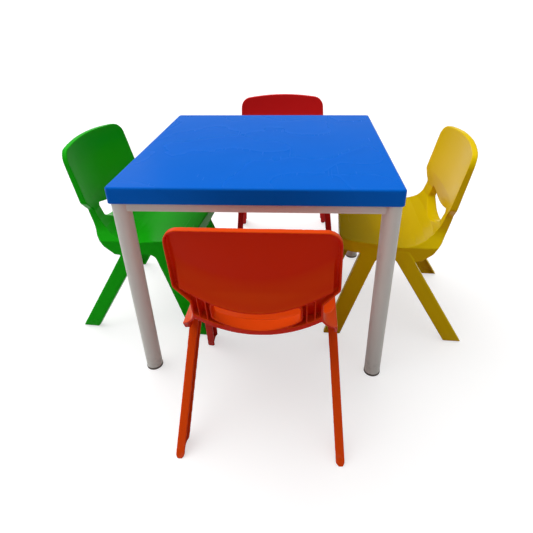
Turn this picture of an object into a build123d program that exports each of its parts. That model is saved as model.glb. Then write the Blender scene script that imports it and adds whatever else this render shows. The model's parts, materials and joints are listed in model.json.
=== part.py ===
"""Square children's table with four one-piece moulded chairs, in millimetres.

The origin is on the floor midway between the opposite chairs, +Z is up, +X runs to the
right and +Y to the back. The table is drawn about its own middle. Each chair is drawn
facing +Y about a floor point between its feet and is set down on its side of the table.
"""

import os
from math import cos, pi, radians, sin, sqrt, tan

from build123d import *

# Table, overall
table_width = 602.0
table_depth = 602.0
table_height = 505.0

# Moulded table top
top_edge_height = 36.0
top_corner_radius = 9.0
top_edge_chamfer = 5.0
top_skin = 4.0
top_band_wall = 4.0
top_rib_thickness = 3.0
top_rib_depth = 20.0
top_rib_pitch = 98.0

# Steel frame
leg_diameter = 39.0
leg_wall = 1.5
leg_edge_margin = 1.5
rail_height = 20.0
rail_width = 25.0
rail_wall = 1.5
weld_gap = 0.1
plate_thickness = 3.0
plate_reach = 70.0

# Glides
glide_height = 6.0
glide_overhang = 0.75
glide_plug_length = 18.0
glide_plug_web = 4.0
glide_clearance = 0.2

# Chair, seat and back seen from the side
chair_height = 523.0
seat_reach = 148.0
heel_setback = 82.5
heel_height = 269.5
seat_pitch = 6.7
back_lean = 11.5
bend_radius = 91.0

# Chair, widths of the shell
seat_width = 302.0
neck_width = 241.0
back_low_width = 300.0
back_high_width = 292.0
back_low_rise = 115.0
back_low_round = 9.0
neck_round = 6.0
flare_round = 40.0
back_corner_round = 33.0
back_arch_rise = 11.0
seat_corner_round = 38.0

# Chair, walls of the moulding
shell_skin = 4.0
shell_wall = 4.0
rim_top_depth = 12.0
rim_neck_depth = 18.0
apron_depth = 32.0
apron_leg_depth = 50.0
back_sag = 19.0
back_neck_sag = 24.0
bucket_sag = 25.0
seat_sag = 8.0
bend_steps = 6
neck_share = 0.2
dish_full_share = 0.7
dish_ease_share = 0.6
apron_full_share = 0.3
apron_ease_share = 0.25

# Chair, handle slot and the ribs beside it
slot_width = 160.0
slot_end_rise = 53.0
slot_low_rise = 25.0
slot_top_rise = 72.0
slot_corner_round = 7.0
panel_sweep_rise = 40.0
slot_band_height = 15.0
post_rib_thickness = 2.5
post_foot_rise = 42.0
post_inner_rib_place = 91.0
post_outer_rib_place = 106.0

# Chair, legs
leg_thickness = 18.5
foot_spread = 350.0
foot_length = 46.0
rear_foot_reach = 198.0
front_foot_reach = 180.0
crotch_rear_place = 5.3
crotch_front_place = 51.2
leg_splay = 5.0
crotch_drop = 22.5
crotch_round = 20.0
leg_edge_chamfer = 5.0
leg_top_drop = 10.0
leg_root_setback = 27.5

# Standing places of the chairs
front_toe_gap = 5.0
back_toe_gap = 4.0
left_toe_lap = 11.0
right_toe_place = 169.5
front_shift = 19.0
back_shift = 28.5
left_shift = 18.5
right_shift = 16.0
front_turn = -0.6
back_turn = 3.4
left_turn = -4.9
right_turn = -3.2

os.makedirs("parts", exist_ok=True)

# Each chair's place and turn about the table's middle, slightly askew as it was left
foot_edge = foot_spread / 2
standing = {
    "front": (front_shift, right_shift - foot_edge - front_foot_reach - front_toe_gap, front_turn),
    "back": (back_shift, right_shift + foot_edge + front_foot_reach + back_toe_gap, 180 + back_turn),
    "left": (front_shift + left_toe_lap - foot_edge - front_foot_reach, left_shift, left_turn - 90),
    "right": (right_toe_place + front_foot_reach, right_shift, right_turn + 90),
}
middle_x = (standing["left"][0] + standing["right"][0]) / 2
middle_y = (standing["front"][1] + standing["back"][1]) / 2


def save(piece, name):
    """Move one finished piece to the frame of the whole set, label it and write its file."""
    placed = piece.part.moved(Location((-middle_x, -middle_y, 0)))
    placed.label = name
    export_step(placed, f"parts/{name}.step")


# Heights and places shared by the table's pieces
frame_top = table_height - top_edge_height
leg_inset = leg_edge_margin + leg_diameter / 2
leg_x = table_width / 2 - leg_inset
leg_y = table_depth / 2 - leg_inset
plate_floor = frame_top - plate_thickness
tray_depth = top_edge_height - top_skin
corners = {
    "front_left": (-1, -1),
    "front_right": (1, -1),
    "back_left": (-1, 1),
    "back_right": (1, 1),
}
leg_places = [(side_x * leg_x, side_y * leg_y) for side_x, side_y in corners.values()]


# Table top: a tray, open below, stiffened by a lattice of ribs
with BuildPart() as table_top:
    with BuildSketch(Plane.XY.offset(frame_top)):
        RectangleRounded(table_width, table_depth, top_corner_radius)
    extrude(amount=top_edge_height)
    chamfer(table_top.faces().sort_by(Axis.Z)[-1].edges(), length=top_edge_chamfer)
    with BuildSketch(Plane.XY.offset(frame_top)):
        RectangleRounded(
            table_width - 2 * top_band_wall,
            table_depth - 2 * top_band_wall,
            top_corner_radius - top_band_wall,
        )
    extrude(amount=tray_depth, mode=Mode.SUBTRACT)
    rib_count_x = int(table_width / 2 / top_rib_pitch)
    rib_count_y = int(table_depth / 2 / top_rib_pitch)
    with BuildSketch(Plane.XY.offset(table_height - top_skin)):
        with GridLocations(top_rib_pitch, 0, 2 * rib_count_x - 1, 1):
            Rectangle(top_rib_thickness, table_depth - top_band_wall)
        with GridLocations(0, top_rib_pitch, 1, 2 * rib_count_y - 1):
            Rectangle(table_width - top_band_wall, top_rib_thickness)
    extrude(amount=-top_rib_depth)
save(table_top, "table_top")


# Frame: four legs of round tube, with glides pushed into their lower ends
for corner, (side_x, side_y) in corners.items():
    stand = Plane((side_x * leg_x, side_y * leg_y, 0))
    with BuildPart() as leg:
        with BuildSketch(stand.offset(glide_height)):
            Circle(leg_diameter / 2)
            Circle(leg_diameter / 2 - leg_wall, mode=Mode.SUBTRACT)
        extrude(amount=frame_top - glide_height)
    save(leg, f"leg_{corner}")


with BuildPart() as glides:
    with BuildSketch():
        with Locations(leg_places):
            Circle(leg_diameter / 2 + glide_overhang)
    extrude(amount=glide_height)
    plug_width = leg_diameter - 2 * leg_wall - 2 * glide_clearance
    with BuildSketch(Plane.XY.offset(glide_height)):
        with Locations(leg_places):
            Rectangle(plug_width, glide_plug_web)
            Rectangle(glide_plug_web, plug_width)
    extrude(amount=glide_plug_length)
save(glides, "glides")


def build_rail(plane, span):
    """One rail of rectangular tube along the plane's normal, its ends coped to round legs."""
    with BuildPart() as rail:
        with BuildSketch(plane):
            Rectangle(rail_width, rail_height)
            inside = (rail_width - 2 * rail_wall, rail_height - 2 * rail_wall)
            Rectangle(*inside, mode=Mode.SUBTRACT)
        extrude(amount=span / 2, both=True)
        for end in (-1, 1):
            post = Plane(plane.origin + plane.z_dir * (end * span / 2), z_dir=(0, 0, 1))
            with BuildSketch(post):
                Circle(leg_diameter / 2 + weld_gap)
            extrude(amount=rail_height, both=True, mode=Mode.SUBTRACT)
    return rail


rail_level = frame_top - rail_height / 2
for name, side in (("front", -1), ("back", 1)):
    middle = Plane((0, side * leg_y, rail_level), x_dir=(0, 1, 0), z_dir=(1, 0, 0))
    save(build_rail(middle, 2 * leg_x), f"rail_{name}")
for name, side in (("left", -1), ("right", 1)):
    middle = Plane((side * leg_x, 0, rail_level), x_dir=(1, 0, 0), z_dir=(0, 1, 0))
    save(build_rail(middle, 2 * leg_y), f"rail_{name}")


# Corner plates: three-cornered plates level with the top of the rails
plate_start = rail_width / 2 + weld_gap
for corner, (side_x, side_y) in corners.items():
    stand = Plane((side_x * leg_x, side_y * leg_y, plate_floor))
    with BuildPart() as corner_plate:
        with BuildSketch(stand):
            with BuildLine():
                Polyline(
                    (-side_x * plate_start, -side_y * plate_start),
                    (-side_x * plate_reach, -side_y * plate_start),
                    (-side_x * plate_start, -side_y * plate_reach),
                    close=True,
                )
            make_face()
            Circle(leg_diameter / 2 + weld_gap, mode=Mode.SUBTRACT)
        extrude(amount=plate_thickness)
    save(corner_plate, f"corner_plate_{corner}")


# Chair: the side view of the sitting surface along its outer edges
seat_rate = tan(radians(seat_pitch))
back_rate = tan(radians(back_lean))
lead = seat_reach + apron_depth
crown = chair_height + rim_neck_depth
with BuildLine(Plane.YZ) as side_view:
    FilletPolyline(
        (lead, heel_height + (lead + heel_setback) * seat_rate),
        (-heel_setback, heel_height),
        (-heel_setback - (crown - heel_height) * back_rate, crown),
        radius=bend_radius,
    )
bend = side_view.edges().filter_by(GeomType.CIRCLE)[0]
seat_run = side_view.edges().filter_by(GeomType.LINE).sort_by(Axis.Z)[0]
back_run = side_view.edges().filter_by(GeomType.LINE).sort_by(Axis.Z)[-1]
seat_half = seat_width / 2
neck_half = neck_width / 2
back_half = back_low_width / 2
flare_height = heel_height + heel_setback * seat_rate
back_low_height = heel_height + back_low_rise
slot_end_height = heel_height + slot_end_rise
slot_low_height = heel_height + slot_low_rise
slot_top_height = heel_height + slot_top_rise
post_foot_height = heel_height + post_foot_rise
crotch_height = heel_height - crotch_drop


def blend(start, end, share):
    """A smooth change from one value to another while the share goes from nought to one."""
    level = min(max(share, 0), 1)
    return start + (end - start) * (1 - cos(pi * level)) / 2


def shell_slice(run, share, sag, top, bottom):
    """One slice across the ribbon of the shell, between two depths under its dished surface."""
    radius = (back_half**2 + sag**2) / (2 * sag)
    half_width = seat_half + shell_wall
    rise = sqrt(radius**2 - half_width**2) - sqrt(radius**2 - back_half**2)
    place = Plane(run @ share, x_dir=(1, 0, 0), z_dir=run % share)
    with BuildSketch(place) as outline:
        with BuildLine():
            upper = ThreePointArc(
                (-half_width, -rise - top), (0, -sag - top), (half_width, -rise - top)
            )
            lower = ThreePointArc(
                (half_width, -rise - bottom), (0, -sag - bottom), (-half_width, -rise - bottom)
            )
            Line(upper @ 1, lower @ 0)
            Line(lower @ 1, upper @ 0)
        make_face()
    return outline.sketch


def front_view(inset):
    """The outline of seat, neck and backrest from the front, drawn in from its edges."""
    high = back_high_width / 2
    shoulder = chair_height - back_arch_rise
    notch = back_low_height - back_half + neck_half
    right_side = (
        (back_half, back_low_height),
        (neck_half, notch),
        (neck_half, flare_height + seat_half - neck_half),
        (seat_half, flare_height),
        (seat_half, 0),
    )
    with BuildSketch(Plane.XZ) as outline:
        with BuildLine():
            arch = ThreePointArc((-high, shoulder), (0, chair_height), (high, shoulder))
            right = Polyline(arch @ 1, *right_side)
            left = Polyline(arch @ 0, *[(-across, height) for across, height in right_side])
            Line(right @ 1, left @ 1)
        make_face()
        fillet(outline.vertices().group_by(Axis.Y)[5], radius=back_corner_round)
        fillet(outline.vertices().group_by(Axis.Y)[4], radius=back_low_round)
        fillet(outline.vertices().group_by(Axis.Y)[3], radius=neck_round)
        fillet(outline.vertices().group_by(Axis.Y)[2], radius=flare_round)
        if inset:
            offset(amount=-inset, mode=Mode.REPLACE)
    return outline.sketch


def plan_view(inset):
    """The outline of the front of the seat from above, with its round corners."""
    with BuildSketch() as outline:
        Rectangle(seat_width - 2 * inset, seat_reach - inset, align=(Align.CENTER, Align.MIN))
        fillet(outline.vertices().group_by(Axis.Y)[-1], radius=seat_corner_round - inset)
    return outline.sketch


def shell_form(inset, top, extra):
    """The shell from a given depth downwards, trimmed to its front view and plan."""
    with BuildPart() as trim:
        extrude(front_view(inset), amount=chair_height)
        extrude(plan_view(inset), amount=chair_height)
    with BuildPart() as form:
        add(shell_slice(seat_run, 0, seat_sag, top, apron_depth + extra))
        for step in range(bend_steps + 1):
            share = step / bend_steps
            sag = blend(seat_sag, bucket_sag, share / dish_full_share)
            dish_ease = (share - dish_ease_share) / (1 - dish_ease_share)
            sag -= blend(0, bucket_sag - back_neck_sag, dish_ease)
            depth = blend(apron_depth, apron_leg_depth, share / apron_full_share)
            apron_ease = (share - apron_ease_share) / (1 - apron_ease_share)
            depth -= blend(0, apron_leg_depth - rim_neck_depth, apron_ease)
            add(shell_slice(bend, share, sag, top, depth + extra))
        for share in (neck_share, 1):
            depth = rim_neck_depth + share * (rim_top_depth - rim_neck_depth)
            add(shell_slice(back_run, share, back_sag, top, depth + extra))
        loft(ruled=True)
        add(trim.part, mode=Mode.INTERSECT)
    return form


# Handle slot: a crescent through the back of the bucket, under the swept edge of the panel
slot_half = slot_width / 2
slot_end_top = slot_top_height + panel_sweep_rise * (slot_half / neck_half) ** 2
sweep_end = slot_top_height + panel_sweep_rise
with BuildSketch(Plane.XZ) as slot:
    with BuildLine():
        slot_upper = ThreePointArc(
            (-slot_half, slot_end_top), (0, slot_top_height), (slot_half, slot_end_top)
        )
        slot_lower = ThreePointArc(
            (-slot_half, slot_end_height), (0, slot_low_height), (slot_half, slot_end_height)
        )
        Line(slot_upper @ 0, slot_lower @ 0)
        Line(slot_upper @ 1, slot_lower @ 1)
    make_face()
    fillet(slot.vertices(), radius=slot_corner_round)

# Standing material behind the skin: a ring and band round the slot, the panel's swept
# lower edge, and upright ribs in the two posts beside the slot
with BuildSketch(Plane.XZ) as stiffeners:
    add(slot.sketch_local)
    offset(amount=shell_wall, mode=Mode.REPLACE)
    for middle, end, width in (
        (slot_top_height, sweep_end, shell_wall),
        (slot_low_height - slot_band_height, post_foot_height, slot_band_height),
    ):
        with BuildLine():
            lower = ThreePointArc((-neck_half, end), (0, middle), (neck_half, end))
            upper = ThreePointArc((-neck_half, end + width), (0, middle + width), (neck_half, end + width))
            Line(lower @ 0, upper @ 0)
            Line(lower @ 1, upper @ 1)
        make_face()
    for place in (post_inner_rib_place, post_outer_rib_place):
        rib_top = slot_top_height + panel_sweep_rise * (place / neck_half) ** 2 + shell_wall / 2
        with Locations((-place, rib_top), (place, rib_top)):
            Rectangle(
                post_rib_thickness, rib_top - post_foot_height, align=(Align.CENTER, Align.MAX)
            )


def leg_outline(inset, side):
    """The side view of one pair of legs with the arch between them, drawn in from its edges."""
    rear_rate = (crotch_rear_place + rear_foot_reach - foot_length) / crotch_height
    front_rate = (front_foot_reach - foot_length - crotch_front_place) / crotch_height
    crest = flare_height - leg_top_drop
    rear_top = crest - seat_rate * leg_root_setback
    front_top = crest + seat_rate * seat_reach / 2
    foot_floor = -leg_thickness * sin(radians(leg_splay)) / 2
    corner_points = (
        (-rear_foot_reach, foot_floor),
        (foot_length - rear_foot_reach, foot_floor),
        (crotch_rear_place, crotch_height),
        (crotch_front_place, crotch_height),
        (front_foot_reach - foot_length, foot_floor),
        (front_foot_reach, foot_floor),
        (front_foot_reach - front_rate * front_top, front_top),
        (-rear_foot_reach + rear_rate * rear_top, rear_top),
    )
    with BuildSketch() as outline:
        with BuildLine():
            Polyline([(side * along, height) for along, height in corner_points], close=True)
        make_face()
        fillet(outline.vertices().group_by(Axis.Y)[1], radius=crotch_round)
        if inset:
            offset(amount=-inset, mode=Mode.REPLACE)
    return outline.sketch


def leg_pair(side):
    """One pair of channel legs, open inwards and splayed out to the floor."""
    lean = radians(leg_splay)
    outward = Vector(side * cos(lean), 0, sin(lean))
    outer = Plane((side * foot_spread / 2, 0, 0), x_dir=(0, side, 0), z_dir=outward)
    with BuildPart() as legs:
        with BuildSketch(outer):
            add(leg_outline(0, side))
        extrude(amount=-leg_thickness)
        outside = legs.faces().sort_by(Axis.X)[-1 if side > 0 else 0]
        chamfer(outside.edges(), length=leg_edge_chamfer)
        with BuildSketch(outer.offset(-shell_wall)):
            add(leg_outline(shell_wall, side))
        extrude(amount=-leg_thickness, mode=Mode.SUBTRACT)
        split(bisect_by=Plane.XY, keep=Keep.TOP)
    return legs


# Chair shell: the form less its hollow back, with the slot cut and the legs set on
with BuildPart() as hollow:
    add(shell_form(shell_wall, shell_skin, apron_leg_depth).part)
    extrude(stiffeners.sketch, amount=chair_height, mode=Mode.SUBTRACT)

with BuildPart() as chair_shell:
    add(shell_form(0, 0, 0).part)
    add(hollow.part, mode=Mode.SUBTRACT)
    extrude(slot.sketch, amount=chair_height, mode=Mode.SUBTRACT)
    add(leg_pair(-1).part)
    add(leg_pair(1).part)


# The four chairs on their sides of the table
for side, (place_x, place_y, turn) in standing.items():
    with BuildPart() as chair:
        with Locations(Location((place_x, place_y, 0), (0, 0, turn))):
            add(chair_shell.part)
    save(chair, f"chair_{side}")
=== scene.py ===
"""Looks for a children's table with four moulded chairs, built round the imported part."""

import json
from math import atan2, cos, pi, radians, sin

import bmesh
import bpy
from mathutils import Matrix, Vector


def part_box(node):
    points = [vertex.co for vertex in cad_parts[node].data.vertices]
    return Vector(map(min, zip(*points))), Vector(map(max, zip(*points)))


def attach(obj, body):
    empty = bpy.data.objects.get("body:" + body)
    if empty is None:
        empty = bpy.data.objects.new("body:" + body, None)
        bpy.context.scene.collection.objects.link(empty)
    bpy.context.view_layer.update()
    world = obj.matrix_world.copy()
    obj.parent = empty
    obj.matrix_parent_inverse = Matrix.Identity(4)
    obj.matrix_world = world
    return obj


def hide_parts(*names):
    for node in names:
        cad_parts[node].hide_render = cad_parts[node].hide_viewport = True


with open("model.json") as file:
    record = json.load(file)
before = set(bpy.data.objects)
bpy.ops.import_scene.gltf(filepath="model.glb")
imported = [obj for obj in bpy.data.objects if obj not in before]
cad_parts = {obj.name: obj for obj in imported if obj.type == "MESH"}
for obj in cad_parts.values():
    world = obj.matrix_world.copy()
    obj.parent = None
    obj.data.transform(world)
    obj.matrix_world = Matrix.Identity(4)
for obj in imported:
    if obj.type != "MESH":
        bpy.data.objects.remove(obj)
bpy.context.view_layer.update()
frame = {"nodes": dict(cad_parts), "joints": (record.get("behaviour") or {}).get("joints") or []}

bl_info = {
    "name": "Kids table and chairs",
    "version": (1, 0, 0),
    "blender": (4, 5, 0),
    "location": "3D View > Sidebar > Kids table",
    "description": "Finishes a children's table and its four moulded chairs",
    "category": "Object",
}

SIDES = ("front", "back", "left", "right")
CORNERS = ("front_left", "front_right", "back_left", "back_right")
UP = Vector((0.0, 0.0, 1.0))
WHITE = (1.0, 1.0, 1.0, 1.0)
MERGE_DISTANCE = 1e-5
FLAT_ANGLE = radians(0.5)
SHARP_ANGLE = radians(38)
LONG_EDGE = 0.1
EDGE_STEPS = 4


class MouldedPlastic(bpy.types.PropertyGroup):
    """Colours, gloss and edge sizes of the moulded pieces."""

    top_blue: bpy.props.FloatVectorProperty(
        name="Table top", description="Colour of the table top", subtype="COLOR", size=3,
        default=(0.0005, 0.138, 0.67))
    front_orange: bpy.props.FloatVectorProperty(
        name="Front chair", description="Colour of the front chair", subtype="COLOR", size=3,
        default=(0.80, 0.068, 0.004))
    back_red: bpy.props.FloatVectorProperty(
        name="Back chair", description="Colour of the back chair", subtype="COLOR", size=3,
        default=(0.80, 0.020, 0.020))
    left_green: bpy.props.FloatVectorProperty(
        name="Left chair", description="Colour of the left chair", subtype="COLOR", size=3,
        default=(0.010, 0.46, 0.006))
    right_yellow: bpy.props.FloatVectorProperty(
        name="Right chair", description="Colour of the right chair", subtype="COLOR", size=3,
        default=(0.80, 0.56, 0.001))
    top_roughness: bpy.props.FloatProperty(
        name="Table top roughness", description="How dull the table top is", subtype="FACTOR",
        default=0.24)
    chair_roughness: bpy.props.FloatProperty(
        name="Chair roughness", description="How dull the chairs are", subtype="FACTOR",
        default=0.20)
    border_round: bpy.props.FloatProperty(
        name="Border rounding", description="Radius of the upper border of the table top",
        subtype="DISTANCE", unit="LENGTH", default=0.005)
    edge_round: bpy.props.FloatProperty(
        name="Edge rounding", description="How far the other edges of the table top are rounded",
        subtype="DISTANCE", unit="LENGTH", default=0.0011)
    chair_mesh: bpy.props.FloatProperty(
        name="Chair mesh", description="Size of the mesh from which a chair's rounded form is made",
        subtype="DISTANCE", unit="LENGTH", default=0.0018)
    chair_softening: bpy.props.IntProperty(
        name="Chair softening", description="How often the chair's edges are evened out", default=5)
    leg_top: bpy.props.FloatProperty(
        name="Leg rounding height", description="Up to where the chair's legs are rounded into bars",
        subtype="DISTANCE", unit="LENGTH", default=0.20)
    leg_softening: bpy.props.IntProperty(
        name="Leg softening", description="How often the legs' edges are evened out", default=9)
    foot_round: bpy.props.FloatProperty(
        name="Foot rounding", description="Radius of the round lower ends of the chair's legs",
        subtype="DISTANCE", unit="LENGTH", default=0.008)
    chair_thinning: bpy.props.FloatProperty(
        name="Chair thinning", description="Share of the chair's faces that is kept",
        subtype="FACTOR", default=0.35)


class SteelFrame(bpy.types.PropertyGroup):
    """Colours and edge sizes of the frame, and the size of its screws."""

    paint: bpy.props.FloatVectorProperty(
        name="Frame paint", description="Colour of the painted steel", subtype="COLOR", size=3,
        default=(0.76, 0.73, 0.68))
    glide: bpy.props.FloatVectorProperty(
        name="Glides", description="Colour of the glides", subtype="COLOR", size=3,
        default=(0.085, 0.070, 0.058))
    tube_round: bpy.props.FloatProperty(
        name="Tube rounding", description="Outer rounding of the rectangular tube",
        subtype="DISTANCE", unit="LENGTH", default=0.0013)
    plate_round: bpy.props.FloatProperty(
        name="Plate rounding", description="Rounding of the corner plates' edges",
        subtype="DISTANCE", unit="LENGTH", default=0.0004)
    glide_round: bpy.props.FloatProperty(
        name="Glide rounding", description="Rounding of the glides' edges",
        subtype="DISTANCE", unit="LENGTH", default=0.0010)
    screw_head: bpy.props.FloatProperty(
        name="Screw head", description="Diameter of the screw heads under the corner plates",
        subtype="DISTANCE", unit="LENGTH", default=0.009)
    screw_rise: bpy.props.FloatProperty(
        name="Screw head height", description="Height of the screw heads",
        subtype="DISTANCE", unit="LENGTH", default=0.0028)


class StudioStage(bpy.types.PropertyGroup):
    """Floor, light and the place of the camera."""

    floor_size: bpy.props.FloatProperty(
        name="Floor", description="Width of the floor", subtype="DISTANCE", unit="LENGTH",
        default=4000.0)
    floor_shade: bpy.props.FloatProperty(
        name="Floor shade", description="How much light the floor throws back", subtype="FACTOR",
        default=0.5)
    floor_glow: bpy.props.FloatProperty(
        name="Floor glow", description="What the floor adds to its own look to be white", default=0.60)
    wall_strength: bpy.props.FloatProperty(
        name="Wall light", description="Strength of the room's light at the horizon", default=0.07)
    room_strength: bpy.props.FloatProperty(
        name="Room light", description="Strength of the room's light overhead", default=0.75)
    ceiling_strength: bpy.props.FloatProperty(
        name="Ceiling light", description="Strength of the broad light from above", default=2.1)
    ceiling_spread: bpy.props.FloatProperty(
        name="Ceiling spread", description="How broad the light from above is", subtype="ANGLE",
        unit="ROTATION", default=radians(70))
    window_power: bpy.props.FloatProperty(
        name="Window light", description="Power of the soft light at the far left",
        subtype="POWER", unit="POWER", default=7.0)
    ceiling_place: bpy.props.FloatVectorProperty(
        name="Ceiling light place", description="From where the broad light comes",
        subtype="TRANSLATION", unit="LENGTH", size=3, default=(-1.6, 0.9, 3.4))
    window_place: bpy.props.FloatVectorProperty(
        name="Window light place", description="Where the soft light at the far left stands",
        subtype="TRANSLATION", unit="LENGTH", size=3, default=(-2.6, 3.0, 1.6))
    window_size: bpy.props.FloatProperty(
        name="Window light size", description="Width of the soft light at the far left",
        subtype="DISTANCE", unit="LENGTH", default=2.2)
    lamp_aim: bpy.props.FloatVectorProperty(
        name="Aim", description="The point at which the lamps are aimed", subtype="TRANSLATION",
        unit="LENGTH", size=3, default=(0.0, 0.0, 0.4))
    camera_place: bpy.props.FloatVectorProperty(
        name="Camera", description="Where the camera stands", subtype="TRANSLATION",
        unit="LENGTH", size=3, default=(0.085527, -1.092813, 0.833427))
    camera_yaw: bpy.props.FloatProperty(
        name="Yaw", description="How far the camera is turned to the right", subtype="ANGLE",
        unit="ROTATION", default=radians(-3.346))
    camera_pitch: bpy.props.FloatProperty(
        name="Pitch", description="How far the camera looks down", subtype="ANGLE",
        unit="ROTATION", default=radians(29.596))
    camera_roll: bpy.props.FloatProperty(
        name="Roll", description="How far the camera leans", subtype="ANGLE",
        unit="ROTATION", default=radians(-0.824))
    camera_lens: bpy.props.FloatProperty(
        name="Lens", description="Focal length on a film of the usual width",
        subtype="DISTANCE_CAMERA", unit="CAMERA", default=29.0)
    camera_shift: bpy.props.FloatVectorProperty(
        name="Shift", description="How far the picture is moved across and up", size=2,
        default=(-0.0254, -0.0504))


class Term:
    """A number of a shader that can be written in sums."""

    def __init__(self, finish, socket):
        self.finish = finish
        self.socket = socket

    def sum(self, operation, first, second):
        made = self.finish.node("ShaderNodeMath", {"operation": operation}, {0: first, 1: second})
        return made.out()

    def __add__(self, other):
        return self.sum("ADD", self, other)

    __radd__ = __add__

    def __sub__(self, other):
        return self.sum("SUBTRACT", self, other)

    def __rsub__(self, other):
        return self.sum("SUBTRACT", other, self)

    def __mul__(self, other):
        return self.sum("MULTIPLY", self, other)

    __rmul__ = __mul__


class Added:
    """A node that was added, with its outputs by name or place."""

    def __init__(self, finish, node):
        self.finish = finish
        self.node = node

    def out(self, name=0):
        return Term(self.finish, self.node.outputs[name])


class Finish:
    """The node tree of one material, or of the world."""

    def __init__(self, tree):
        self.tree = tree
        tree.nodes.clear()

    def node(self, kind, settings=None, inputs=None):
        """Add a node: its settings first, then the values or links of its sockets."""
        made = self.tree.nodes.new(kind)
        for name, value in (settings or {}).items():
            setattr(made, name, value)
        for name, value in (inputs or {}).items():
            if isinstance(value, Term):
                self.tree.links.new(value.socket, made.inputs[name])
            else:
                made.inputs[name].default_value = value
        return Added(self, made)

    def noise(self, place, scale, detail=2.0, stretch=(1.0, 1.0, 1.0)):
        """A soft random pattern over the piece, in Object coordinates."""
        laid = self.node("ShaderNodeMapping", None, {"Vector": place, "Scale": stretch})
        return self.node("ShaderNodeTexNoise", None,
                         {"Vector": laid.out(), "Scale": scale, "Detail": detail}).out(0)

    def band(self, value, low, high):
        """Nought below one level, one above another, and a smooth change between."""
        made = self.node("ShaderNodeMapRange", {"interpolation_type": "SMOOTHSTEP"},
                         {"Value": value, "From Min": low, "From Max": high})
        return made.out()

    def tint(self, share, first, second):
        """A colour between two others. The node's sockets share names, so they go by place."""
        made = self.node("ShaderNodeMix", {"data_type": "RGBA"}, {0: share, 6: first, 7: second})
        return made.out(2)

    def shown(self):
        """One for what is seen straight, mirrored or through something clear, else nought."""
        path = self.node("ShaderNodeLightPath")
        rays = path.out("Is Camera Ray") + path.out("Is Glossy Ray") + path.out("Is Transmission Ray")
        return self.band(rays, 0, 1)


def opaque(colour, level=1.0):
    """A colour with full cover, made lighter or darker."""
    return tuple(min(1.0, part * level) for part in colour) + (1.0,)


def new_finish(name):
    """An empty material and its tree."""
    material = bpy.data.materials.new(name)
    material.use_nodes = True
    return material, Finish(material.node_tree)


def close_finish(finish, colour, roughness, relief, depth, settings):
    """Join colour, roughness and a raised pattern to the surface."""
    bump = finish.node("ShaderNodeBump", None,
                       {"Strength": 1.0, "Distance": depth, "Height": relief})
    inputs = {"Base Color": colour, "Roughness": roughness, "Normal": bump.out()}
    inputs.update(settings)
    surface = finish.node("ShaderNodeBsdfPrincipled", None, inputs)
    finish.node("ShaderNodeOutputMaterial", None, {"Surface": surface.out()})


def moulded_plastic(name, colour, roughness, feet):
    """Glossy moulded plastic: cloudy pigment, a pebbled skin and fine scratches. A piece with
    feet is scuffed there, and has painted shade: its colour is deeper where it faces down."""
    material, finish = new_finish(name)
    place = finish.node("ShaderNodeTexCoord").out("Object")
    facing = finish.node("ShaderNodeNewGeometry").out("Normal")
    upward = finish.node("ShaderNodeSeparateXYZ", None, {0: facing}).out("Z")
    cloud = finish.noise(place, 6.0, 3.0)
    pebble = finish.noise(place, 700.0, 1.0)
    ripple = finish.noise(place, 18.0, 1.0)
    patch = finish.band(finish.noise(place, 9.0, 0.0), 0.35, 0.80)
    hair = finish.noise(place, 220.0, 2.0, (1.0, 0.03, 1.0))
    scratch = finish.band(hair, 0.62, 0.74) * patch * finish.band(upward, 0.5, 0.9)
    dulled = roughness + cloud * 0.05 + patch * 0.03 + scratch * 0.05
    if feet:
        # Painted shade: on faces that turn down, the colour goes over to a darker, more saturated copy
        # of itself.
        painted_shade = tuple(part * part / max(colour) for part in colour)
        shown = finish.tint(finish.band(upward, -0.6, 0.6), opaque(painted_shade, 0.94), opaque(colour))
        height = finish.node("ShaderNodeSeparateXYZ", None, {0: place}).out("Z")
        low = 1 - finish.band(height, 0.004, 0.040)
        scuff = low * finish.band(finish.noise(place, 90.0, 4.0), 0.42, 0.62)
        pale = tuple(part * 0.85 + 0.06 for part in colour)
        shown = finish.tint(scuff * 0.3, shown, opaque(pale))
        dulled = dulled + scuff * 0.14
    else:
        shown = finish.tint(cloud, opaque(colour, 0.96), opaque(colour, 1.03))
    relief = pebble * 0.02 + ripple * 0.6
    close_finish(finish, shown, dulled, relief, 0.00005, {"Specular IOR Level": 0.035})
    return material


def painted_steel(name, colour):
    """Sprayed paint on steel: an even colour with the fine ripple of the spray, and grime
    near the floor."""
    material, finish = new_finish(name)
    place = finish.node("ShaderNodeTexCoord").out("Object")
    cloud = finish.noise(place, 9.0, 3.0)
    peel = finish.noise(place, 420.0, 2.0)
    height = finish.node("ShaderNodeSeparateXYZ", None, {0: place}).out("Z")
    low = 1 - finish.band(height, 0.008, 0.07)
    grime = low * finish.band(finish.noise(place, 70.0, 5.0), 0.45, 0.70)
    paint = finish.tint(cloud, opaque(colour, 0.95), opaque(colour, 1.04))
    shown = finish.tint(grime * 0.35, paint, opaque(colour, 0.55))
    roughness = 0.34 + cloud * 0.08 + grime * 0.2
    close_finish(finish, shown, roughness, peel, 0.00006, {"Specular IOR Level": 0.3})
    return material


def dusty_plastic(name, colour):
    """Dull glide plastic with a grain and patches of dust."""
    material, finish = new_finish(name)
    place = finish.node("ShaderNodeTexCoord").out("Object")
    grain = finish.noise(place, 520.0, 3.0)
    dust = finish.band(finish.noise(place, 110.0, 4.0), 0.48, 0.70)
    shown = finish.tint(dust * 0.5, opaque(colour), opaque(colour, 2.2))
    close_finish(finish, shown, 0.55 + dust * 0.2, grain, 0.0002, {"IOR": 1.48})
    return material


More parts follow.
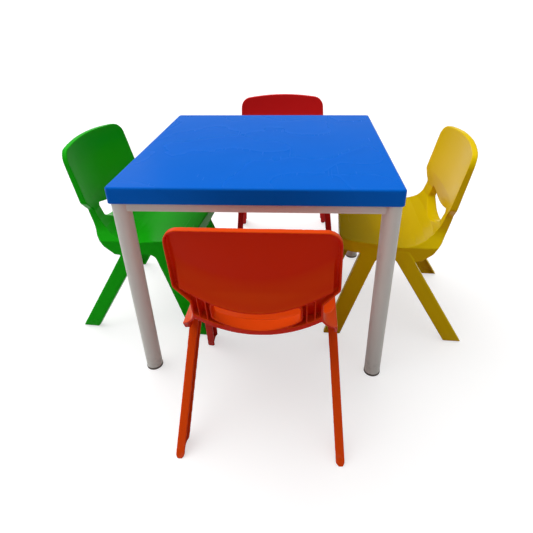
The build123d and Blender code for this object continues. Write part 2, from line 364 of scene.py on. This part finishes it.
def plated_steel(name):
    """Zinc plate on the screws, with a faint mottle."""
    material, finish = new_finish(name)
    place = finish.node("ShaderNodeTexCoord").out("Object")
    mottle = finish.noise(place, 800.0, 3.0)
    shown = finish.tint(mottle, (0.52, 0.52, 0.50, 1.0), (0.66, 0.66, 0.64, 1.0))
    close_finish(finish, shown, 0.30 + mottle * 0.15, mottle, 0.00005, {"Metallic": 1.0})
    return material


def pick(piece):
    """Select one object only and make it the active one."""
    bpy.ops.object.select_all(action="DESELECT")
    piece.select_set(True)
    bpy.context.view_layer.objects.active = piece


def is_sharp(edge):
    """Whether two faces meet in an edge that shows."""
    return len(edge.link_faces) == 2 and edge.calc_face_angle() > SHARP_ANGLE


def is_long(edge):
    """Whether a sharp edge runs along a tube and not round its end."""
    return is_sharp(edge) and edge.calc_length() > LONG_EDGE


def round_edges(piece, width, chosen):
    """Round the edges that a test picks, in edit mode."""
    pick(piece)
    bpy.ops.object.mode_set(mode="EDIT")
    bpy.ops.mesh.select_mode(type="EDGE")
    bpy.ops.mesh.select_all(action="DESELECT")
    shape = bmesh.from_edit_mesh(piece.data)
    for edge in shape.edges:
        if chosen(edge):
            edge.select_set(True)
    bmesh.update_edit_mesh(piece.data)
    bpy.ops.mesh.bevel(offset=width, segments=EDGE_STEPS, affect="EDGES")
    bpy.ops.object.mode_set(mode="OBJECT")


def copy_of(node):
    """A copy of a node's mesh as one clean skin, with only the edges that its shape needs."""
    piece = bpy.data.objects.new(f"{node}_finished", frame["nodes"][node].data.copy())
    bpy.context.scene.collection.objects.link(piece)
    pick(piece)
    bpy.ops.mesh.customdata_custom_splitnormals_clear()
    bpy.ops.object.mode_set(mode="EDIT")
    bpy.ops.mesh.select_all(action="SELECT")
    bpy.ops.mesh.remove_doubles(threshold=MERGE_DISTANCE)
    bpy.ops.mesh.dissolve_limited(angle_limit=FLAT_ANGLE)
    bpy.ops.object.mode_set(mode="OBJECT")
    return piece


def shade(piece):
    """Shade a piece smooth, with its flat faces even and its sharp edges kept."""
    pick(piece)
    bpy.ops.object.shade_smooth_by_angle(angle=SHARP_ANGLE)
    evening = piece.modifiers.new("Even shading", "WEIGHTED_NORMAL")
    evening.keep_sharp = True
    bpy.ops.object.modifier_apply(modifier=evening.name)


def stand_in(piece, node, body, material):
    """Put a finished piece in a node's place, on its body and with its finish."""
    piece.data.materials.clear()
    piece.data.materials.append(material)
    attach(piece, body)
    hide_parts(node)


class KIDS_TABLE_OT_table_top(bpy.types.Operator):
    """Finish the moulded table top."""

    bl_idname = "kids_table.table_top"
    bl_label = "Table top"

    BORDER_CUTS = 2
    # Points this close to the ends of the border's slant stay, by share of its height.
    BORDER_END = 0.01
    # Least upward part of the normal of a point on the border.
    BORDER_FACING = 0.3

    def execute(self, context):
        plastic = context.scene.kids_table_plastic
        blue = moulded_plastic("blue moulded top", plastic.top_blue, plastic.top_roughness, False)
        top = copy_of("table_top")
        self.round_border(top, plastic.border_round)
        round_edges(top, plastic.edge_round, is_sharp)
        shade(top)
        stand_in(top, "table_top", "table", blue)
        return {"FINISHED"}

    def round_border(self, top, size):
        """Bulge the slanted border round the upper face into a quarter round."""
        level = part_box("table_top")[1].z
        bpy.ops.object.mode_set(mode="EDIT")
        bpy.ops.mesh.select_mode(type="EDGE")
        bpy.ops.mesh.select_all(action="DESELECT")
        shape = bmesh.from_edit_mesh(top.data)
        for edge in shape.edges:
            drops = sorted(level - vertex.co.z for vertex in edge.verts)
            if drops[0] < MERGE_DISTANCE and abs(drops[1] - size) < MERGE_DISTANCE:
                edge.select_set(True)
        bmesh.update_edit_mesh(top.data)
        bpy.ops.mesh.subdivide(number_cuts=self.BORDER_CUTS)
        shape = bmesh.from_edit_mesh(top.data)
        shape.normal_update()
        for vertex in shape.verts:
            share = (level - vertex.co.z) / size
            between = self.BORDER_END < share < 1 - self.BORDER_END
            if between and vertex.normal.z > self.BORDER_FACING:
                turn = share * pi / 2
                outward = Vector((vertex.normal.x, vertex.normal.y, 0.0)).normalized()
                vertex.co += outward * size * (sin(turn) - share)
                vertex.co += UP * size * (share - 1 + cos(turn))
        bmesh.update_edit_mesh(top.data)
        bpy.ops.object.mode_set(mode="OBJECT")


class KIDS_TABLE_OT_frame(bpy.types.Operator):
    """Finish the painted legs, rails and corner plates."""

    bl_idname = "kids_table.frame"
    bl_label = "Steel frame"

    def execute(self, context):
        steel = context.scene.kids_table_steel
        paint = painted_steel("frame paint", steel.paint)
        for side in SIDES:
            self.finish(f"rail_{side}", paint, steel.tube_round, is_long)
        for corner in CORNERS:
            self.finish(f"leg_{corner}", paint)
            self.finish(f"corner_plate_{corner}", paint, steel.plate_round)
        return {"FINISHED"}

    def finish(self, node, paint, width=0.0, chosen=is_sharp):
        """Shade and paint one piece of the frame, with its edges rounded if a width is given."""
        piece = copy_of(node)
        if width:
            round_edges(piece, width, chosen)
        shade(piece)
        stand_in(piece, node, "table", paint)


class KIDS_TABLE_OT_glides(bpy.types.Operator):
    """Finish the glides under the legs."""

    bl_idname = "kids_table.glides"
    bl_label = "Glides"

    def execute(self, context):
        steel = context.scene.kids_table_steel
        plastic = dusty_plastic("glide plastic", steel.glide)
        glides = copy_of("glides")
        round_edges(glides, steel.glide_round, is_sharp)
        shade(glides)
        stand_in(glides, "glides", "table", plastic)
        return {"FINISHED"}


class KIDS_TABLE_OT_screws(bpy.types.Operator):
    """Model the pan-head screws under the corner plates."""

    bl_idname = "kids_table.screws"
    bl_label = "Screws"

    # Places of the two screws of a plate, from the middle of the leg inwards.
    PLACES = ((0.048, 0.021), (0.021, 0.048))
    HEAD_SIDES = 24
    # Rounding of the head by its height, and the recess by the head's diameter.
    DOME_SHARE = 0.4
    DOME_STEPS = 3
    RECESS_LENGTH = 0.55
    RECESS_WIDTH = 0.13
    SMOOTH_ANGLE = radians(30)

    def execute(self, context):
        steel = context.scene.kids_table_steel
        plated = plated_steel("zinc plate")
        heads = []
        for corner in CORNERS:
            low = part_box(f"corner_plate_{corner}")[0]
            leg_low, leg_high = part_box(f"leg_{corner}")
            stem = (leg_low + leg_high) / 2
            inward_x = 1 if low.x > stem.x else -1
            inward_y = 1 if low.y > stem.y else -1
            for along, across in self.PLACES:
                spot = (stem.x + inward_x * along, stem.y + inward_y * across)
                heads.append(self.head(spot, low.z, steel))
        bpy.ops.object.select_all(action="DESELECT")
        for head in heads:
            head.select_set(True)
        bpy.context.view_layer.objects.active = heads[0]
        bpy.ops.object.join()
        screws = bpy.context.view_layer.objects.active
        screws.name = "plate_screws"
        bpy.ops.object.transform_apply(location=True, rotation=True, scale=True)
        bpy.ops.object.shade_smooth_by_angle(angle=self.SMOOTH_ANGLE)
        screws.data.materials.clear()
        screws.data.materials.append(plated)
        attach(screws, "table")
        return {"FINISHED"}

    def head(self, spot, level, steel):
        """One domed head with a cross recess, its flat side up against the plate."""
        bpy.ops.object.select_all(action="DESELECT")
        bpy.ops.mesh.primitive_cylinder_add(
            vertices=self.HEAD_SIDES, radius=steel.screw_head / 2, depth=steel.screw_rise,
            location=(spot[0], spot[1], level - steel.screw_rise / 2))
        head = bpy.context.active_object
        dome = head.modifiers.new("Dome", "BEVEL")
        dome.width = steel.screw_rise * self.DOME_SHARE
        dome.segments = self.DOME_STEPS
        dome.limit_method = "ANGLE"
        bpy.ops.object.modifier_apply(modifier=dome.name)
        for turn in (0.0, radians(90)):
            bpy.ops.object.select_all(action="DESELECT")
            bpy.ops.mesh.primitive_cube_add(
                size=1.0, rotation=(0.0, 0.0, turn),
                location=(spot[0], spot[1], level - steel.screw_rise))
            bar = bpy.context.active_object
            length = steel.screw_head * self.RECESS_LENGTH
            width = steel.screw_head * self.RECESS_WIDTH
            bar.scale = (length, width, steel.screw_rise)
            pick(head)
            recess = head.modifiers.new("Recess", "BOOLEAN")
            recess.operation = "DIFFERENCE"
            recess.object = bar
            bpy.ops.object.modifier_apply(modifier=recess.name)
            bpy.data.objects.remove(bar)
        return head


class KIDS_TABLE_OT_chairs(bpy.types.Operator):
    """Finish the four moulded chairs, each in its own colour."""

    bl_idname = "kids_table.chairs"
    bl_label = "Chairs"

    # The swept lower edge of the backrest panel: its level in the middle, its sweep and half length.
    EDGE_LEVEL = 0.3415
    EDGE_SWEEP = 2.4
    EDGE_HALF = 0.136
    # The rib along that edge, and the wedge above it that reaches a little into the panel.
    RIB_WIDTH = 0.010
    RIB_RISE = 0.0125
    WEDGE_RISE = 0.075
    WEDGE_ROOT = 0.002
    WEDGE_CUTS = 23
    # Share of a leg's width that is left where it meets the floor.
    FOOT_FLAT = 0.5

    def execute(self, context):
        plastic = context.scene.kids_table_plastic
        shades = {
            "front": ("chair_orange", plastic.front_orange),
            "back": ("chair_red", plastic.back_red),
            "left": ("chair_green", plastic.left_green),
            "right": ("chair_yellow", plastic.right_yellow),
        }
        chair = self.moulding(plastic)
        for side, (slot, colour) in shades.items():
            node = f"chair_{side}"
            # True gives each chair scuffed feet and painted shade on its down-facing faces.
            finish = moulded_plastic(slot.replace("_", " "), colour, plastic.chair_roughness, True)
            piece = bpy.data.objects.new(f"{node}_finished", chair.data.copy())
            piece.data.transform(self.way_to(node))
            context.scene.collection.objects.link(piece)
            stand_in(piece, node, node, finish)
        bpy.data.objects.remove(chair)
        return {"FINISHED"}

    def moulding(self, plastic):
        """The front chair with all its edges rounded off, as they leave the mould."""
        chair = copy_of("chair_front")
        chair.name = "moulding"
        filling = self.filling(chair)
        pick(chair)
        filling.select_set(True)
        bpy.ops.object.join()
        chair.data.remesh_voxel_size = plastic.chair_mesh
        bpy.ops.object.voxel_remesh()
        softening = chair.modifiers.new("Softened edges", "SMOOTH")
        softening.iterations = plastic.chair_softening
        bpy.ops.object.modifier_apply(modifier=softening.name)
        legs = chair.vertex_groups.new(name="legs")
        low = [vertex.index for vertex in chair.data.vertices if vertex.co.z < plastic.leg_top]
        legs.add(low, 1.0, "REPLACE")
        rounding = chair.modifiers.new("Rounded legs", "SMOOTH")
        rounding.vertex_group = legs.name
        rounding.iterations = plastic.leg_softening
        bpy.ops.object.modifier_apply(modifier=rounding.name)
        lift = min(vertex.co.z for vertex in chair.data.vertices)
        for index in low:
            place = chair.data.vertices[index].co
            place.z -= lift * (1 - place.z / plastic.leg_top)
        self.round_feet(chair, plastic.foot_round)
        thinning = chair.modifiers.new("Fewer faces", "DECIMATE")
        thinning.ratio = plastic.chair_thinning
        bpy.ops.object.modifier_apply(modifier=thinning.name)
        bpy.ops.object.shade_smooth()
        return chair

    def round_feet(self, chair, size):
        """Draw the lower ends of the legs in to a round, as seen from behind."""
        out, side, middle = self.directions(chair)
        for hand in (-1, 1):
            for end in (-1, 1):
                foot = []
                for vertex in chair.data.vertices:
                    away = vertex.co - middle
                    if vertex.co.z < size and away.dot(side) * hand > 0 and away.dot(out) * end > 0:
                        foot.append(vertex)
                places = [vertex.co.dot(side) for vertex in foot]
                centre = (min(places) + max(places)) / 2
                for vertex in foot:
                    share = 1 - vertex.co.z / size
                    width = max(self.FOOT_FLAT, (1 - share * share) ** 0.5)
                    vertex.co += side * (vertex.co.dot(side) - centre) * (width - 1)

    def filling(self, chair):
        """A wedge that lets the rib along the panel's swept edge run out into the panel."""
        out, side, middle = self.directions(chair)
        bpy.ops.object.select_all(action="DESELECT")
        bpy.ops.mesh.primitive_cube_add(size=1.0)
        wedge = bpy.context.active_object
        bpy.ops.object.mode_set(mode="EDIT")
        bpy.ops.mesh.subdivide(number_cuts=self.WEDGE_CUTS)
        bpy.ops.object.mode_set(mode="OBJECT")
        for vertex in wedge.data.vertices:
            across = vertex.co.x * 2 * self.EDGE_HALF
            up = vertex.co.z + 0.5
            edge = self.EDGE_LEVEL + self.EDGE_SWEEP * across * across
            level = edge + up * self.WEDGE_RISE
            seen = max(level, edge + self.RIB_WIDTH)
            start = middle + side * across + out + UP * seen
            skin = chair.ray_cast(start, -out)[1]
            rise = self.RIB_RISE * (1 - up * up * (3 - 2 * up))
            depth = (vertex.co.y + 0.5) * (rise + self.WEDGE_ROOT) - self.WEDGE_ROOT
            vertex.co = skin + UP * (level - seen) + out * depth
        return wedge

    def directions(self, chair):
        """The front chair's way out from the table, its way to one side, and its middle."""
        out = Vector(self.joint("chair_front")["axis"]).normalized()
        return out, UP.cross(out), self.balance(chair.data)

    def way_to(self, node):
        """The move along the floor that takes the front chair to another chair's place."""
        turn = self.heading(node) - self.heading("chair_front")
        start = self.balance(frame["nodes"]["chair_front"].data)
        end = self.balance(frame["nodes"][node].data)
        return Matrix.Translation(end) @ Matrix.Rotation(turn, 4, "Z") @ Matrix.Translation(-start)

    def heading(self, node):
        """The direction in which a chair slides out."""
        axis = self.joint(node)["axis"]
        return atan2(axis[1], axis[0])

    def joint(self, node):
        """The joint on which a chair slides."""
        return next(found for found in frame["joints"] if found["child"] == node)

    def balance(self, mesh):
        """The floor point under the centre of a closed mesh."""
        shape = bmesh.new()
        shape.from_mesh(mesh)
        whole = 0.0
        moment = Vector((0.0, 0.0, 0.0))
        for face in bmesh.ops.triangulate(shape, faces=shape.faces)["faces"]:
            first, second, third = (vertex.co for vertex in face.verts)
            volume = first.dot(second.cross(third))
            whole += volume
            moment += volume * (first + second + third) / 4
        shape.free()
        return Vector((moment.x / whole, moment.y / whole, 0.0))


class KIDS_TABLE_OT_stage(bpy.types.Operator):
    """Set up the pale floor, the soft light and the camera."""

    bl_idname = "kids_table.stage"
    bl_label = "Stage"

    # Heights between which the room's light grows from the horizon's strength to the full one.
    OVERHEAD = (0.2, 0.9)
    # The white wall: its height, how much lower it is behind the table, and its soft upper edge.
    WALL_HEIGHT = 0.36
    WALL_DIP = 0.24
    WALL_BEHIND = (0.35, 0.80)
    WALL_BLUR = 0.1
    FILM_WIDTH = 36.0

    def execute(self, context):
        settings = context.scene.kids_table_stage
        self.floor(settings)
        self.room(context.scene, settings)
        self.ceiling(settings)
        self.window(settings)
        self.camera(context.scene, settings)
        context.scene.view_settings.view_transform = "Standard"
        return {"FINISHED"}

    def floor(self, settings):
        bpy.ops.object.select_all(action="DESELECT")
        bpy.ops.mesh.primitive_plane_add(size=settings.floor_size)
        floor = bpy.context.active_object
        floor.name = "studio_floor"
        material, finish = new_finish("pale floor")
        grey = opaque(WHITE[:3], settings.floor_shade)
        matte = finish.node("ShaderNodeBsdfDiffuse", None, {"Color": grey})
        white = finish.shown() * settings.floor_glow
        glow = finish.node("ShaderNodeEmission", None, {"Strength": white})
        both = finish.node("ShaderNodeAddShader", None, {0: matte.out(), 1: glow.out()})
        finish.node("ShaderNodeOutputMaterial", None, {"Surface": both.out()})
        floor.data.materials.append(material)

    def room(self, scene, settings):
        """Light from overhead. To the eye and in reflections a white wall stands all round,
        which is lower behind the table."""
        scene.world = bpy.data.worlds.new("pale room")
        scene.world.use_nodes = True
        finish = Finish(scene.world.node_tree)
        way = finish.node("ShaderNodeTexCoord").out("Generated")
        parts = finish.node("ShaderNodeSeparateXYZ", None, {0: way})
        height = parts.out("Z")
        wall = settings.wall_strength
        room = wall + finish.band(height, *self.OVERHEAD) * (settings.room_strength - wall)
        behind = finish.band(parts.out("Y"), *self.WALL_BEHIND)
        edge = self.WALL_HEIGHT - self.WALL_DIP * behind
        white = finish.shown() * (1 - finish.band(height - edge, 0.0, self.WALL_BLUR))
        light = finish.node("ShaderNodeBackground", None,
                            {"Color": WHITE, "Strength": room + white * (1 - room)})
        finish.node("ShaderNodeOutputWorld", None, {"Surface": light.out()})

    def lamp(self, name, kind, place, aim, power):
        """A lamp that is turned to a point."""
        data = bpy.data.lights.new(name, kind)
        data.energy = power
        lamp = bpy.data.objects.new(name, data)
        lamp.location = place
        way = Vector(aim) - Vector(place)
        lamp.rotation_euler = way.to_track_quat("-Z", "Y").to_euler()
        bpy.context.scene.collection.objects.link(lamp)
        return lamp

    def ceiling(self, settings):
        lamp = self.lamp("ceiling light", "SUN", settings.ceiling_place, settings.lamp_aim,
                         settings.ceiling_strength)
        lamp.data.angle = settings.ceiling_spread
        lamp.visible_glossy = False

    def window(self, settings):
        lamp = self.lamp("window light", "AREA", settings.window_place, settings.lamp_aim,
                         settings.window_power)
        lamp.data.size = settings.window_size

    def camera(self, scene, settings):
        yaw, pitch, roll = settings.camera_yaw, settings.camera_pitch, settings.camera_roll
        ahead = Vector((sin(yaw) * cos(pitch), cos(yaw) * cos(pitch), -sin(pitch)))
        level = Vector((cos(yaw), -sin(yaw), 0.0))
        upright = level.cross(ahead)
        right = cos(roll) * level + sin(roll) * upright
        up = cos(roll) * upright - sin(roll) * level
        data = bpy.data.cameras.new("photograph")
        data.sensor_width = self.FILM_WIDTH
        data.lens = settings.camera_lens
        data.shift_x = settings.camera_shift[0]
        data.shift_y = settings.camera_shift[1]
        data.clip_end = settings.floor_size
        camera = bpy.data.objects.new("photograph", data)
        turned = Matrix((right, up, -ahead)).transposed().to_4x4()
        camera.matrix_world = Matrix.Translation(settings.camera_place) @ turned
        scene.collection.objects.link(camera)
        scene.camera = camera


class KIDS_TABLE_PT_panel(bpy.types.Panel):
    """The pieces of the table and chairs, with their sizes and colours."""

    bl_label = "Kids table"
    bl_idname = "KIDS_TABLE_PT_panel"
    bl_space_type = "VIEW_3D"
    bl_region_type = "UI"
    bl_category = "Kids table"

    def draw(self, context):
        for group in ("kids_table_plastic", "kids_table_steel", "kids_table_stage"):
            settings = getattr(context.scene, group)
            for name in settings.bl_rna.properties.keys():
                if name not in ("rna_type", "name"):
                    self.layout.prop(settings, name)
        for operator in OPERATORS:
            self.layout.operator(operator.bl_idname)


GROUPS = {
    "kids_table_plastic": MouldedPlastic,
    "kids_table_steel": SteelFrame,
    "kids_table_stage": StudioStage,
}
OPERATORS = (
    KIDS_TABLE_OT_table_top,
    KIDS_TABLE_OT_frame,
    KIDS_TABLE_OT_glides,
    KIDS_TABLE_OT_screws,
    KIDS_TABLE_OT_chairs,
    KIDS_TABLE_OT_stage,
)


def register():
    for name, group in GROUPS.items():
        bpy.utils.register_class(group)
        setattr(bpy.types.Scene, name, bpy.props.PointerProperty(type=group))
    for kind in OPERATORS + (KIDS_TABLE_PT_panel,):
        bpy.utils.register_class(kind)


def unregister():
    for kind in reversed(OPERATORS + (KIDS_TABLE_PT_panel,)):
        bpy.utils.unregister_class(kind)
    for name, group in GROUPS.items():
        delattr(bpy.types.Scene, name)
        bpy.utils.unregister_class(group)


def main():
    """Finish each piece in turn and set the stage."""
    register()
    bpy.ops.kids_table.table_top()
    bpy.ops.kids_table.frame()
    bpy.ops.kids_table.glides()
    bpy.ops.kids_table.screws()
    bpy.ops.kids_table.chairs()
    bpy.ops.kids_table.stage()


if __name__ == "__main__":
    main()
